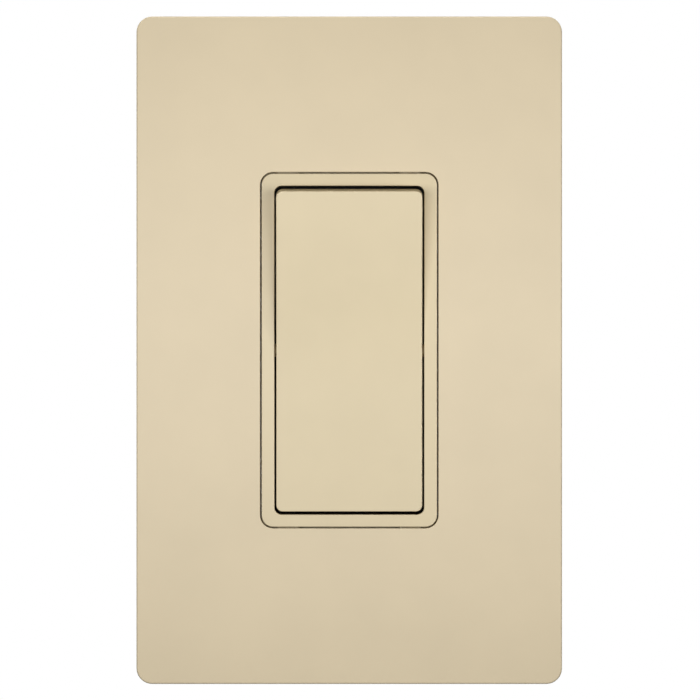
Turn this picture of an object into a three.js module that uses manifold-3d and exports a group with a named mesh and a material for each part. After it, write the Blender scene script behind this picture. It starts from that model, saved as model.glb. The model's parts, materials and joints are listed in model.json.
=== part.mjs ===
// Single-pole decorator rocker switch with a screwless clip-on wall plate.
// Millimetres. The finished wall is the plane y = 0: the room is at -y and the wall box at +y.
// +X is to the right as the switch is seen from the room, and +Z is up.
// The rocker rests OFF: its lower half is flush with the wall plate and its upper half stands proud.

import * as THREE from "three";
import { mergeVertices } from "three/addons/utils/BufferGeometryUtils.js";
import Module from "manifold-3d";

const wasm = await Module();
wasm.setup();

// ---- Driving dimensions ----

const FACE = -6.4; // the front plane shared by the wall plate, the bezel and the pressed half of the rocker
const FIT = 0.3; // clearance kept between neighbouring pieces
const CUT = 1; // how far a cutting tool runs past the surface it opens

const PLATE = { width: 80.2, height: 125.8, corner: 2.95, wall: 1.8, gap: 0.32 };
const PLATE_HOOK = { length: 8, reach: 1.2, front: -1.6, back: -0.6, spread: 34 };
const PLATE_RIB = { thickness: 1, depth: 0.9, x: 27, z: 55.5 };
const SUB = { width: 72, height: 117.6, corner: 2, front: -3.2, web: 1.7, rim: 1.5 };
const SUB_WINDOW = { width: 36, height: 73, corner: 2 };
const SUB_CATCH = { length: 10, reach: 0.8, front: -2.9, back: -2 };

const BEZEL = { width: 33, height: 66.55, corner: 2.15, back: -1.5 };
const BEZEL_FLANGE = { height: 71, front: -2.7 };
const BEZEL_BOSS = { radius: 2.1, front: -4.2 };
const WINDOW = { width: 28.25, height: 62, corner: 1.36 };

const THROW = 7; // degrees between OFF and ON
const PIVOT = { y: -3.9, radius: 1.2, reach: 15.2, clearance: 0.2 };
const PADDLE = { width: 27.5, half: 30.4, skirt: 4.7, wall: 1.6, blend: 8, blendSteps: 6 };
const BOSS = { radius: 4.2, bore: 2.5, end: 11.2, seat: 1 };
const PLUNGER = { radius: 2.1, head: 8, shoulder: 12.6, tip: 18, tipRadius: 1.1, neck: 1.5 };
const SPRING = { coil: 1.75, wire: 0.28, turns: 6, start: 1.4, stepsPerTurn: 10, divisions: 3 };

const ARM_THROW = 10; // degrees between contacts open and contacts closed
const ARM = { y: 14.75, width: 6.4, thickness: 1, top: 9, bottom: -15.2, pin: 0.8, pinReach: 5 };
const CONTACT = { z: -12.6, radius: 1.9, head: 0.7, dome: 0.25, shank: 0.9, clinch: 1.4, clinchHeight: 0.4 };
const CONTACT_PLAY = 0.15; // between a contact rivet and the strip it is clinched in

const STRAP = { width: 34, height: 106.4, thickness: 1.2, corner: 3 };
const STRAP_WINDOW = { width: 28.8, height: 62.4, corner: 1.5 };
const EAR = { reach: 22, low: 45, high: 52.4, neck: 0.9, notch: 2 };
const GROUND_TAB = { left: -16.9, thickness: 1.2, low: -38, high: -31.6, depth: 10.6 };

const BOX_SCREW_SPACING = 83.34; // 3.281 in, the two screws into the wall box
const PLATE_SCREW_SPACING = 96.84; // 3.812 in, the two screws that hold the plate
const THREAD = 1.75; // radius of a 6-32 screw
const THREAD_HOLE = 2; // radius of the holes that 6-32 screws pass
const BOX_SCREW = { head: 3.3, headHeight: 2, length: 25.4, slotTravel: 1.3 };
const PLATE_SCREW = { head: 3.1, headHeight: 1.1, length: 8.7 };
const SLOT = { width: 0.9, depth: 0.6 };
const HEAD_CHAMFER = 0.45; // share of a pan head's height that its chamfered crown takes
const RETAINER = { side: 8, thickness: 0.8, corner: 1 };

const BODY = { width: 33, height: 62, front: 0.3, back: 25.3, wall: 1.8, corner: 2 };
const BODY_EAR = { width: 28.4, height: 71, thickness: 3 };
const REBATE = { wall: 1.2, depth: 1.7 };
const COVER_SLOT = { width: 11, height: 13.4 };
const ASSEMBLY_SCREW = { x: 11.5, z: 33.4, radius: 0.95, head: 1.9, headHeight: 1.4, tip: -3.6 };

const TERMINAL = { x: 13.2, thickness: 1.2, z: 17.5, halfHeight: 4.5, front: 5, y: 10 };
const POCKET = { inner: 12.9, halfHeight: 5.5, front: 4, back: 16, wall: 1.6, blockInner: 9.4 };
const TERMINAL_SCREW = { head: 3.8, headHeight: 2.2, headInner: 15, tip: 11.2, pocketEnd: 10.6 };
const COMMON_LEG = { front: 22, left: -4.6, low: -3 };
const SWITCHED_LEG = { front: 18.7, left: -3.4, low: -19.5, high: -9.4 };
const CRADLE = { thickness: 1, height: 2.6, gap: 0.15 };
const CLIP = { x: 9.5, width: 3.4, thickness: 0.5, front: 11.5, back: 20.4, low: 25, height: 3.2, bend: 6 };
const WIRE_HOLE = { x: 11.2, z: 26.6, radius: 1.2 };
const GROUND_SCREW = { y: 7, z: -34.8, head: 3.4, headHeight: 2.4, tip: -13.7 };

const ROUND = 16; // sides of a round feature
const CORNER_STEPS = 2; // curve divisions of a rounded corner, each of which makes two segments

// ---- Materials ----

const finish = (color, roughness, metalness) =>
  new THREE.MeshStandardMaterial({ color, roughness, metalness });
const ivory = finish(0xe0cfaa, 0.5, 0);
const darkPlastic = finish(0x2c2c2e, 0.55, 0);
const fibre = finish(0xb59a72, 0.9, 0);
const zinc = finish(0xb9bcc0, 0.35, 1);
const brass = finish(0xc9a24a, 0.3, 1);
const silver = finish(0xd8d8d6, 0.25, 1);
const springSteel = finish(0x9c9fa3, 0.3, 1);
const green = finish(0x1f7a3d, 0.45, 0.3);

// ---- Solids ----

// A closed geometry as a solid that can be joined and cut.
function solid(geometry) {
  const bare = geometry.clone();
  bare.deleteAttribute("normal");
  bare.deleteAttribute("uv");
  const merged = mergeVertices(bare, 1e-4);
  const corners = merged.index.array;
  const triVerts = [];
  for (let i = 0; i < corners.length; i += 3) {
    const [a, b, c] = corners.subarray(i, i + 3);
    // The triangles that meet a lathe's axis have collapsed, and are dropped.
    if (a !== b && b !== c && c !== a) triVerts.push(a, b, c);
  }
  return new wasm.Manifold(
    new wasm.Mesh({
      numProp: 3,
      vertProperties: new Float32Array(merged.attributes.position.array),
      triVerts: new Uint32Array(triVerts),
    }),
  );
}

function geometryOf(made) {
  const mesh = made.getMesh();
  return new THREE.BufferGeometry()
    .setAttribute("position", new THREE.BufferAttribute(mesh.vertProperties, 3))
    .setIndex(new THREE.BufferAttribute(mesh.triVerts, 1));
}

// Two coordinates in rising order.
const span = (a, b) => (a < b ? [a, b] : [b, a]);

const join = (solids) => solids.reduce((whole, next) => whole.add(next));
const cut = (whole, tools) => tools.reduce((rest, tool) => rest.subtract(tool), whole);

function box([x0, x1], [y0, y1], [z0, z1]) {
  const geometry = new THREE.BoxGeometry(x1 - x0, y1 - y0, z1 - z0);
  return solid(geometry.translate((x0 + x1) / 2, (y0 + y1) / 2, (z0 + z1) / 2));
}

function roundedRectangle(width, height, radius) {
  const [x, y] = [width / 2, height / 2];
  const shape = new THREE.Shape();
  shape.moveTo(x - radius, -y);
  shape.absarc(x - radius, -y + radius, radius, -Math.PI / 2, 0);
  shape.absarc(x - radius, y - radius, radius, 0, Math.PI / 2);
  shape.absarc(-x + radius, y - radius, radius, Math.PI / 2, Math.PI);
  shape.absarc(-x + radius, -y + radius, radius, Math.PI, Math.PI * 1.5);
  shape.closePath();
  return shape;
}

// A shape drawn in (x, z) and made solid between two depths of y.
function throughY(shape, [y0, y1]) {
  const settings = { depth: y1 - y0, bevelEnabled: false, curveSegments: CORNER_STEPS };
  return solid(new THREE.ExtrudeGeometry(shape, settings).rotateX(Math.PI / 2).translate(0, y1, 0));
}

const slab = (size, range) => throughY(roundedRectangle(size.width, size.height, size.corner), range);

// A shape drawn in (y, z) and made solid between two widths of x.
function throughX(shape, [x0, x1]) {
  const turn = new THREE.Matrix4().makeBasis(
    new THREE.Vector3(0, 1, 0),
    new THREE.Vector3(0, 0, 1),
    new THREE.Vector3(1, 0, 0),
  );
  const geometry = new THREE.ExtrudeGeometry(shape, { depth: x1 - x0, bevelEnabled: false });
  return solid(geometry.applyMatrix4(turn).translate(x0, 0, 0));
}

// A round rod along Y at (x, z), and one along X at (y, z).
function rodY(radius, [y0, y1], x, z, sides = ROUND) {
  return solid(new THREE.CylinderGeometry(radius, radius, y1 - y0, sides).translate(x, (y0 + y1) / 2, z));
}

function rodX(radius, [x0, x1], y, z, sides = ROUND) {
  const rod = new THREE.CylinderGeometry(radius, radius, x1 - x0, sides).rotateZ(Math.PI / 2);
  return solid(rod.translate((x0 + x1) / 2, y, z));
}

// A turned solid about Y from its outline as [radius, y] points, which starts and ends on the axis.
function turned(outline, x = 0, z = 0) {
  const points = outline.map(([radius, y]) => new THREE.Vector2(radius, y));
  return solid(new THREE.LatheGeometry(points, ROUND).translate(x, 0, z));
}

const bothEnds = [1, -1];
const allCorners = bothEnds.flatMap((side) => bothEnds.map((end) => [side, end]));

// ---- Wall plate ----

function coverPlate() {
  const inner = {
    width: PLATE.width - 2 * PLATE.wall,
    height: PLATE.height - 2 * PLATE.wall,
    corner: PLATE.corner - PLATE.wall / 2,
  };
  const webBack = FACE + PLATE.wall;
  const opening = {
    width: BEZEL.width + 2 * PLATE.gap,
    height: BEZEL.height + 2 * PLATE.gap,
    corner: BEZEL.corner + PLATE.gap,
  };
  const shell = cut(slab(PLATE, [FACE, 0]), [
    slab(inner, [webBack, CUT]),
    slab(opening, [FACE - CUT, webBack + CUT]),
  ]);
  const [wallX, wallZ] = [inner.width / 2, inner.height / 2];
  const ribs = bothEnds.flatMap((side) => {
    const [x, z] = [side * PLATE_RIB.x, side * PLATE_RIB.z];
    const half = PLATE_RIB.thickness / 2;
    const depth = [webBack - CUT / 2, webBack + PLATE_RIB.depth];
    return [
      box([x - half, x + half], depth, [-wallZ, wallZ]),
      box([-wallX, wallX], depth, [z - half, z + half]),
    ];
  });
  const hookY = [PLATE_HOOK.front, PLATE_HOOK.back];
  const half = PLATE_HOOK.length / 2;
  const sideHooks = allCorners.map(([side, end]) => {
    const z = (end * PLATE_HOOK.spread) / 2;
    const x = span(side * (wallX - PLATE_HOOK.reach), side * (wallX + CUT / 2));
    return box(x, hookY, [z - half, z + half]);
  });
  const endHooks = bothEnds.map((end) => {
    const z = span(end * (wallZ - PLATE_HOOK.reach), end * (wallZ + CUT / 2));
    return box([-half, half], hookY, z);
  });
  return join([shell, ...ribs, ...sideHooks, ...endHooks]);
}

function subPlate() {
  const webBack = SUB.front + SUB.web;
  const recess = { width: SUB.width - 2 * SUB.rim, height: SUB.height - 2 * SUB.rim, corner: SUB.corner / 2 };
  const through = [SUB.front - CUT, webBack + CUT];
  const headRoom = BOX_SCREW.head + FIT;
  const screwHoles = bothEnds.map((end) => rodY(THREAD_HOLE, through, 0, (end * PLATE_SCREW_SPACING) / 2));
  const headNotches = bothEnds.flatMap((end) => {
    const z = (end * BOX_SCREW_SPACING) / 2;
    const mouth = span(z, (end * SUB_WINDOW.height) / 2 - end * CUT);
    return [rodY(headRoom, through, 0, z), box([-headRoom, headRoom], through, mouth)];
  });
  const tray = cut(slab(SUB, [SUB.front, 0]), [
    slab(recess, [webBack, CUT]),
    slab(SUB_WINDOW, through),
    ...screwHoles,
    ...headNotches,
  ]);
  const catchY = [SUB_CATCH.front, SUB_CATCH.back];
  const half = SUB_CATCH.length / 2;
  const [edgeX, edgeZ] = [SUB.width / 2, SUB.height / 2];
  const sideCatches = allCorners.map(([side, end]) => {
    const z = (end * PLATE_HOOK.spread) / 2;
    const x = span(side * (edgeX - SUB.rim), side * (edgeX + SUB_CATCH.reach));
    return box(x, catchY, [z - half, z + half]);
  });
  const endCatches = bothEnds.map((end) => {
    const z = span(end * (edgeZ - SUB.rim), end * (edgeZ + SUB_CATCH.reach));
    return box([-half, half], catchY, z);
  });
  return join([tray, ...sideCatches, ...endCatches]);
}

// ---- Screws ----

// A slotted pan-head screw along +Y whose head rests on the plane y = seat.
function panScrew(size, seat, z) {
  const top = seat - size.headHeight;
  const tip = seat + size.length;
  const rim = size.headHeight * HEAD_CHAMFER;
  const chamfer = THREAD / 2;
  const blank = turned(
    [
      [0, top],
      [size.head - rim, top],
      [size.head, top + rim],
      [size.head, seat],
      [THREAD, seat],
      [THREAD, tip - chamfer],
      [THREAD - chamfer, tip],
      [0, tip],
    ],
    0,
    z,
  );
  const slot = box(
    [-size.head - CUT, size.head + CUT],
    [top - CUT, top + SLOT.depth],
    [z - SLOT.width / 2, z + SLOT.width / 2],
  );
  return cut(blank, [slot]);
}

function assemblyScrew(x, z) {
  const seat = BODY.front + BODY_EAR.thickness + FIT / 2;
  const head = rodY(ASSEMBLY_SCREW.head, [seat, seat + ASSEMBLY_SCREW.headHeight], x, z, ROUND / 2);
  const shank = rodY(ASSEMBLY_SCREW.radius, [ASSEMBLY_SCREW.tip, seat + FIT], x, z, ROUND / 2);
  return join([head, shank]);
}

function terminalScrew(z) {
  const outer = TERMINAL_SCREW.headInner + TERMINAL_SCREW.headHeight;
  const head = rodX(TERMINAL_SCREW.head, [TERMINAL_SCREW.headInner, outer], TERMINAL.y, z);
  const shank = rodX(THREAD, [TERMINAL_SCREW.tip, outer - CUT], TERMINAL.y, z);
  const slot = box(
    [outer - SLOT.depth, outer + CUT],
    [TERMINAL.y - TERMINAL_SCREW.head - CUT, TERMINAL.y + TERMINAL_SCREW.head + CUT],
    [z - SLOT.width / 2, z + SLOT.width / 2],
  );
  return cut(join([head, shank]), [slot]);
}

function groundScrew() {
  const { y, z, head, headHeight, tip } = GROUND_SCREW;
  const seat = GROUND_TAB.left - FIT / 2;
  const slot = box(
    [seat - headHeight - CUT, seat - headHeight + SLOT.depth],
    [y - head - CUT, y + head + CUT],
    [z - SLOT.width / 2, z + SLOT.width / 2],
  );
  const hexagon = rodX(head, [seat - headHeight, seat], y, z, 6);
  return cut(join([hexagon, rodX(THREAD, [seat - FIT, tip], y, z)]), [slot]);
}

function screwRetainer(z) {
  const outline = roundedRectangle(RETAINER.side, RETAINER.side, RETAINER.corner);
  const washer = throughY(outline, [FIT, FIT + RETAINER.thickness]).translate([0, 0, z]);
  return cut(washer, [rodY(THREAD_HOLE, [0, 2 * RETAINER.thickness], 0, z)]);
}

// ---- Mounting strap ----

function strap() {
  const depth = [-STRAP.thickness, 0];
  const through = [-STRAP.thickness - CUT, CUT];
  const edge = STRAP.width / 2;
  const ears = allCorners.map(([side, end]) => {
    const x = span(side * (edge - STRAP.corner), side * EAR.reach);
    return box(x, depth, span(end * EAR.low, end * EAR.high));
  });
  const scores = allCorners.flatMap(([side, end]) => {
    const x = span(side * (edge + EAR.neck), side * edge);
    return [
      box(x, through, span(end * (EAR.low - CUT), end * (EAR.low + EAR.notch))),
      box(x, through, span(end * (EAR.high - EAR.notch), end * (EAR.high + CUT))),
    ];
  });
  const tabX = [GROUND_TAB.left, GROUND_TAB.left + GROUND_TAB.thickness];
  const groundTab = box(tabX, [-STRAP.thickness / 2, GROUND_TAB.depth], [GROUND_TAB.low, GROUND_TAB.high]);
  const boxSlots = bothEnds.flatMap((end) => {
    const z = (end * BOX_SCREW_SPACING) / 2;
    const travel = BOX_SCREW.slotTravel;
    return [
      box([-travel, travel], through, [z - THREAD_HOLE, z + THREAD_HOLE]),
      rodY(THREAD_HOLE, through, -travel, z),
      rodY(THREAD_HOLE, through, travel, z),
    ];
  });
  const plateHoles = bothEnds.map((end) => rodY(THREAD_HOLE, through, 0, (end * PLATE_SCREW_SPACING) / 2));
  const assemblyHoles = allCorners.map(([side, end]) =>
    rodY(ASSEMBLY_SCREW.radius + FIT, through, side * ASSEMBLY_SCREW.x, end * ASSEMBLY_SCREW.z, ROUND / 2),
  );
  const groundHole = rodX(THREAD_HOLE, [tabX[0] - CUT, tabX[1] + CUT], GROUND_SCREW.y, GROUND_SCREW.z);
  return cut(join([slab(STRAP, depth), ...ears, groundTab]), [
    slab(STRAP_WINDOW, through),
    ...scores,
    ...boxSlots,
    ...plateHoles,
    ...assemblyHoles,
    groundHole,
  ]);
}

// ---- Bezel ----

function bezel() {
  const flange = { width: BEZEL.width, height: BEZEL_FLANGE.height, corner: BEZEL.corner };
  const bosses = allCorners.map(([side, end]) => {
    const [x, z] = [side * ASSEMBLY_SCREW.x, end * ASSEMBLY_SCREW.z];
    return rodY(BEZEL_BOSS.radius, [BEZEL_BOSS.front, BEZEL.back], x, z);
  });
  const frame = join([
    slab(BEZEL, [FACE, BEZEL.back]),
    slab(flange, [BEZEL_FLANGE.front, BEZEL.back]),
    ...bosses,
  ]);
  const socket = PIVOT.radius + PIVOT.clearance;
  const socketEnd = PIVOT.reach + FIT;
  const pilots = allCorners.map(([side, end]) => {
    const depth = [ASSEMBLY_SCREW.tip - FIT, CUT];
    const [x, z] = [side * ASSEMBLY_SCREW.x, end * ASSEMBLY_SCREW.z];
    return rodY(ASSEMBLY_SCREW.radius + FIT / 2, depth, x, z, ROUND / 2);
  });
  return cut(frame, [
    slab(WINDOW, [FACE - CUT, CUT]),
    rodX(socket, [-socketEnd, socketEnd], PIVOT.y, 0),
    ...pilots,
  ]);
}

// ---- Rocker, in its own frame: the pivot is the origin and the two halves are mirror images ----

const HALF_THROW = THREE.MathUtils.degToRad(THROW / 2);
const FACE_DISTANCE = PIVOT.y - FACE; // from the pivot to the plane of either half of the front face

// The rocker's side outline at a distance behind the front face: two flats joined by a shallow arc.
function rockerLine(behind) {
  const distance = FACE_DISTANCE - behind;
  const arcRadius = PADDLE.blend / Math.sin(HALF_THROW) + behind;
  const centre = -(distance + arcRadius) / Math.cos(HALF_THROW);
  const upperEnd = [
    -distance * Math.cos(HALF_THROW) - PADDLE.half * Math.sin(HALF_THROW),
    -distance * Math.sin(HALF_THROW) + PADDLE.half * Math.cos(HALF_THROW),
  ];
  const line = [upperEnd];
  for (let step = 0; step <= PADDLE.blendSteps; step += 1) {
    const angle = HALF_THROW * (1 - (2 * step) / PADDLE.blendSteps);
    line.push([centre + arcRadius * Math.cos(angle), arcRadius * Math.sin(angle)]);
  }
  line.push([upperEnd[0], -upperEnd[1]]);
  return line;
}

function rockerBlock(front, back, width, shorten) {
  const near = rockerLine(front);
  const far = rockerLine(back).reverse();
  const outline = [...near, ...far].map(([y, z]) => new THREE.Vector2(y, z * shorten));
  return throughX(new THREE.Shape(outline), [-width / 2, width / 2]);
}

function paddle() {
  const innerShare = 1 - PADDLE.wall / PADDLE.half;
  const shell = cut(rockerBlock(0, PADDLE.skirt, PADDLE.width, 1), [
    rockerBlock(PADDLE.wall, PADDLE.skirt + CUT, PADDLE.width - 2 * PADDLE.wall, innerShare),
  ]);
  const pins = rodX(PIVOT.radius, [-PIVOT.reach, PIVOT.reach], 0, 0);
  const hollow = box(
    [-PADDLE.width / 2 + PADDLE.wall, PADDLE.width / 2 - PADDLE.wall],
    [PADDLE.wall - FACE_DISTANCE, PADDLE.skirt],
    [-PADDLE.skirt, PADDLE.skirt],
  );
  const boss = rodY(BOSS.radius, [-FACE_DISTANCE + PADDLE.wall / 2, BOSS.end], 0, 0);
  const bore = rodY(BOSS.bore, [BOSS.seat, BOSS.end + CUT], 0, 0);
  return cut(join([shell, cut(pins, [hollow]), boss]), [bore]);
}

function plunger() {
  const { radius, head, shoulder, tip, tipRadius, neck } = PLUNGER;
  const noseAngle = Math.PI / 5; // of the point between the foot and the tip of the ball nose
  return turned([
    [0, head],
    [radius, head],
    [radius, shoulder],
    [neck, shoulder + radius - neck],
    [neck, tip - tipRadius],
    [tipRadius * Math.cos(noseAngle), tip - tipRadius * (1 - Math.sin(noseAngle))],
    [0, tip],
  ]);
}

class Helix extends THREE.Curve {
  getPoint(share, target = new THREE.Vector3()) {
    const angle = share * SPRING.turns * 2 * Math.PI;
    const length = PLUNGER.head - FIT - 2 * SPRING.wire - SPRING.start;
    const y = SPRING.start + SPRING.wire + share * length;
    return target.set(SPRING.coil * Math.cos(angle), y, SPRING.coil * Math.sin(angle));
  }
}

function detentSpring() {
  const section = new THREE.Shape().absarc(0, 0, SPRING.wire, 0, 2 * Math.PI);
  const steps = SPRING.turns * SPRING.stepsPerTurn;
  const settings = { steps, curveSegments: SPRING.divisions, extrudePath: new Helix() };
  return solid(new THREE.ExtrudeGeometry(section, settings));
}

// ---- Contacts, in the contact arm's own frame: the pivot is the origin and the arm stands upright ----

function contactArm() {
  const half = ARM.thickness / 2;
  const strip = box([-ARM.width / 2, ARM.width / 2], [-half, half], [ARM.bottom, ARM.top]);
  const lugs = bothEnds.map((side) => {
    const x = span(side * (ARM.width / 2 - half), side * ARM.pinReach);
    return rodX(ARM.pin, x, 0, 0, ROUND / 2);
  });
  const through = [-ARM.thickness, ARM.thickness];
  const rivetHole = rodY(CONTACT.shank + CONTACT_PLAY, through, 0, CONTACT.z, ROUND / 2);
  return cut(join([strip, ...lugs]), [rivetHole]);
}

// A contact rivet through a strip from y = front to y = back, with its domed face towards +Y or -Y.
function contactRivet(front, back, facing, z) {
  const face = facing > 0 ? back + CONTACT_PLAY : front - CONTACT_PLAY;
  const clinch = facing > 0 ? front - CONTACT_PLAY : back + CONTACT_PLAY;
  const shoulder = face + facing * CONTACT.head;
  const outline = [
    [0, clinch - facing * CONTACT.clinchHeight],
    [CONTACT.clinch, clinch - facing * CONTACT.clinchHeight],
    [CONTACT.clinch, clinch],
    [CONTACT.shank, clinch],
    [CONTACT.shank, face],
    [CONTACT.radius, face],
    [CONTACT.radius, shoulder],
    [0, shoulder + facing * CONTACT.dome],
  ];
  return turned(facing > 0 ? outline : outline.reverse(), 0, z);
}

// ---- Terminals ----

// The leg that stands in a side pocket of the body under its terminal screw, and runs back past it.
function sideLeg(end, back) {
  const x = [TERMINAL.x, TERMINAL.x + TERMINAL.thickness];
  const z = [end * TERMINAL.z - TERMINAL.halfHeight, end * TERMINAL.z + TERMINAL.halfHeight];
  const reach = span(end * TERMINAL.z, end * (CLIP.low + CLIP.height));
  const leg = box(x, [TERMINAL.front, back], z);
  const clipPad = box(x, [back - TERMINAL.halfHeight / 2, back], reach);
  const tapped = rodX(THREAD_HOLE, [x[0] - CUT, x[1] + CUT], TERMINAL.y, end * TERMINAL.z);
  return cut(join([leg, clipPad]), [tapped]);
}

function commonTerminal() {
  const back = COMMON_LEG.front + TERMINAL.thickness;
  const across = box(
    [COMMON_LEG.left, TERMINAL.x + TERMINAL.thickness],
    [COMMON_LEG.front, back],
    [TERMINAL.z - TERMINAL.halfHeight, TERMINAL.z],
  );
  const downX = [COMMON_LEG.left, -COMMON_LEG.left];
  const down = box(downX, [COMMON_LEG.front, back], [COMMON_LEG.low, TERMINAL.z]);
  const inner = ARM.width / 2 + CRADLE.gap;
  const cheeks = bothEnds.map((side) => {
    const x = span(side * inner, side * (inner + CRADLE.thickness));
    return box(x, [ARM.y - ARM.pin / 2, back], [-CRADLE.height, CRADLE.height]);
  });
  const seat = ARM.pin + CRADLE.gap;
  const acrossBoth = [-ARM.pinReach, ARM.pinReach];
  const notch = [rodX(seat, acrossBoth, ARM.y, 0), box(acrossBoth, [0, ARM.y], [-seat, seat])];
  return join([sideLeg(1, back), across, down, cut(join(cheeks), notch)]);
}

function switchedTerminal() {
  const back = SWITCHED_LEG.front + TERMINAL.thickness;
  const depth = [SWITCHED_LEG.front, back];
  const x = [SWITCHED_LEG.left, TERMINAL.x + TERMINAL.thickness];
  const across = box(x, depth, [SWITCHED_LEG.low, SWITCHED_LEG.high]);
  const through = [depth[0] - CUT, depth[1] + CUT];
  const hole = rodY(CONTACT.shank + CONTACT_PLAY, through, 0, CONTACT.z, ROUND / 2);
  return cut(join([sideLeg(-1, back), across]), [hole]);
}

// A spring clip for a wire pushed in from behind: a U whose one leg bends in and grips with its edge.
function pushInClip(end) {
  const { x, width, thickness, front, back, low, height, bend } = CLIP;
  const right = x + width;
  const grip = x + 2 * thickness;
  const outline = [
    [x, back],
    [x, front],
    [right, front],
    [right, back - bend],
    [grip + thickness, back - thickness],
    [grip, back - 2 * thickness],
    [right - thickness, back - bend],
    [right - thickness, front + thickness],
    [x + thickness, front + thickness],
    [x + thickness, back],
  ];
  const shape = new THREE.Shape(outline.map((point) => new THREE.Vector2(...point)));
  const strip = solid(new THREE.ExtrudeGeometry(shape, { depth: height, bevelEnabled: false }));
  return strip.translate([0, 0, Math.min(end * low, end * (low + height))]);
}

// ---- Body ----

function backBody() {
  const { width, height, front, back, wall, corner } = BODY;
  const [innerX, innerZ] = [width / 2 - wall, height / 2 - wall];
  const [rimX, rimZ] = [width / 2 - REBATE.wall, height / 2 - REBATE.wall];
  const floor = back - wall;
  const ear = { width: BODY_EAR.width, height: BODY_EAR.height, corner };
  const shell = cut(join([slab(BODY, [front, back]), slab(ear, [front, front + BODY_EAR.thickness])]), [
    box([-innerX, innerX], [front - CUT, floor], [-innerZ, innerZ]),
    box([-rimX, rimX], [front - CUT, front + REBATE.depth], [-rimZ, rimZ]),
  ]);
  const blocks = bothEnds.map((end) => {
    const half = POCKET.halfHeight + POCKET.wall;
    const z = [end * TERMINAL.z - half, end * TERMINAL.z + half];
    const y = [front + REBATE.depth + FIT, POCKET.back + POCKET.wall];
    return box([POCKET.blockInner, innerX + CUT], y, z);
  });
  const pockets = bothEnds.flatMap((end) => {
    const z = [end * TERMINAL.z - POCKET.halfHeight, end * TERMINAL.z + POCKET.halfHeight];
    const leg = [end * TERMINAL.z - TERMINAL.halfHeight - FIT, end * TERMINAL.z + TERMINAL.halfHeight + FIT];
    const legX = [TERMINAL.x - FIT, TERMINAL.x + TERMINAL.thickness + FIT];
    return [
      box([POCKET.inner, width / 2 + CUT], [POCKET.front, POCKET.back], z),
      box(legX, [POCKET.front, POCKET.back + POCKET.wall + CUT], leg),
      rodX(THREAD_HOLE, [TERMINAL_SCREW.pocketEnd, POCKET.inner + CUT], TERMINAL.y, end * TERMINAL.z),
    ];
  });
  const wireHoles = bothEnds.map((end) =>
    rodY(WIRE_HOLE.radius, [floor - CUT, back + CUT], WIRE_HOLE.x, end * WIRE_HOLE.z, ROUND / 2),
  );
  const screwHoles = allCorners.map(([side, end]) =>
    rodY(
      ASSEMBLY_SCREW.radius + FIT,
      [front - CUT, front + BODY_EAR.thickness + CUT],
      side * ASSEMBLY_SCREW.x,
      end * ASSEMBLY_SCREW.z,
      ROUND / 2,
    ),
  );
  const anvil = box(
    [SWITCHED_LEG.left, -SWITCHED_LEG.left],
    [SWITCHED_LEG.front + TERMINAL.thickness + FIT + 2 * CONTACT.clinchHeight, floor + CUT / 2],
    [SWITCHED_LEG.low, SWITCHED_LEG.high],
  );
  return cut(join([shell, ...blocks, anvil]), [...pockets, ...wireHoles, ...screwHoles]);
}

function chamberCover() {
  const { front, width, height } = BODY;
  const size = {
    width: width - 2 * REBATE.wall - 2 * FIT,
    height: height - 2 * REBATE.wall - 2 * FIT,
    corner: FIT,
  };
  const opening = { width: COVER_SLOT.width, height: COVER_SLOT.height, corner: COVER_SLOT.width / 3 };
  const depth = [front, front + REBATE.depth - FIT];
  return cut(slab(size, depth), [slab(opening, [front - CUT, front + REBATE.depth + CUT])]);
}

// ---- Assembly ----

function piece(name, made, material) {
  const mesh = new THREE.Mesh(geometryOf(made), material);
  mesh.name = name;
  return mesh;
}

const boxScrewSeat = -STRAP.thickness - FIT / 2;
const plateScrewSeat = SUB.front - FIT / 2;
const ends = { upper: 1, lower: -1 };

const rocker = new THREE.Group();
rocker.position.y = PIVOT.y;
rocker.rotation.x = HALF_THROW;
rocker.add(
  piece("paddle", paddle(), ivory),
  piece("plunger", plunger(), darkPlastic),
  piece("detent_spring", detentSpring(), springSteel),
);

const armHalf = ARM.thickness / 2;
const seeSaw = new THREE.Group();
seeSaw.position.y = ARM.y;
seeSaw.rotation.x = -THREE.MathUtils.degToRad(ARM_THROW / 2);
seeSaw.add(
  piece("contact_arm", contactArm(), brass),
  piece("moving_contact", contactRivet(-armHalf, armHalf, 1, CONTACT.z), silver),
);

const switchedBack = SWITCHED_LEG.front + TERMINAL.thickness;
const device = new THREE.Group();
device.add(
  piece("cover_plate", coverPlate(), ivory),
  piece("sub_plate", subPlate(), ivory),
  piece("strap", strap(), zinc),
  piece("bezel", bezel(), ivory),
  piece("back_body", backBody(), darkPlastic),
  piece("chamber_cover", chamberCover(), darkPlastic),
  piece("common_terminal", commonTerminal(), brass),
  piece("switched_terminal", switchedTerminal(), brass),
  piece("fixed_contact", contactRivet(SWITCHED_LEG.front, switchedBack, -1, CONTACT.z), silver),
  piece("terminal_screw_common", terminalScrew(TERMINAL.z), brass),
  piece("terminal_screw_switched", terminalScrew(-TERMINAL.z), brass),
  piece("push_in_clip_common", pushInClip(1), brass),
  piece("push_in_clip_switched", pushInClip(-1), brass),
  piece("ground_screw", groundScrew(), green),
  rocker,
  seeSaw,
);

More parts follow.
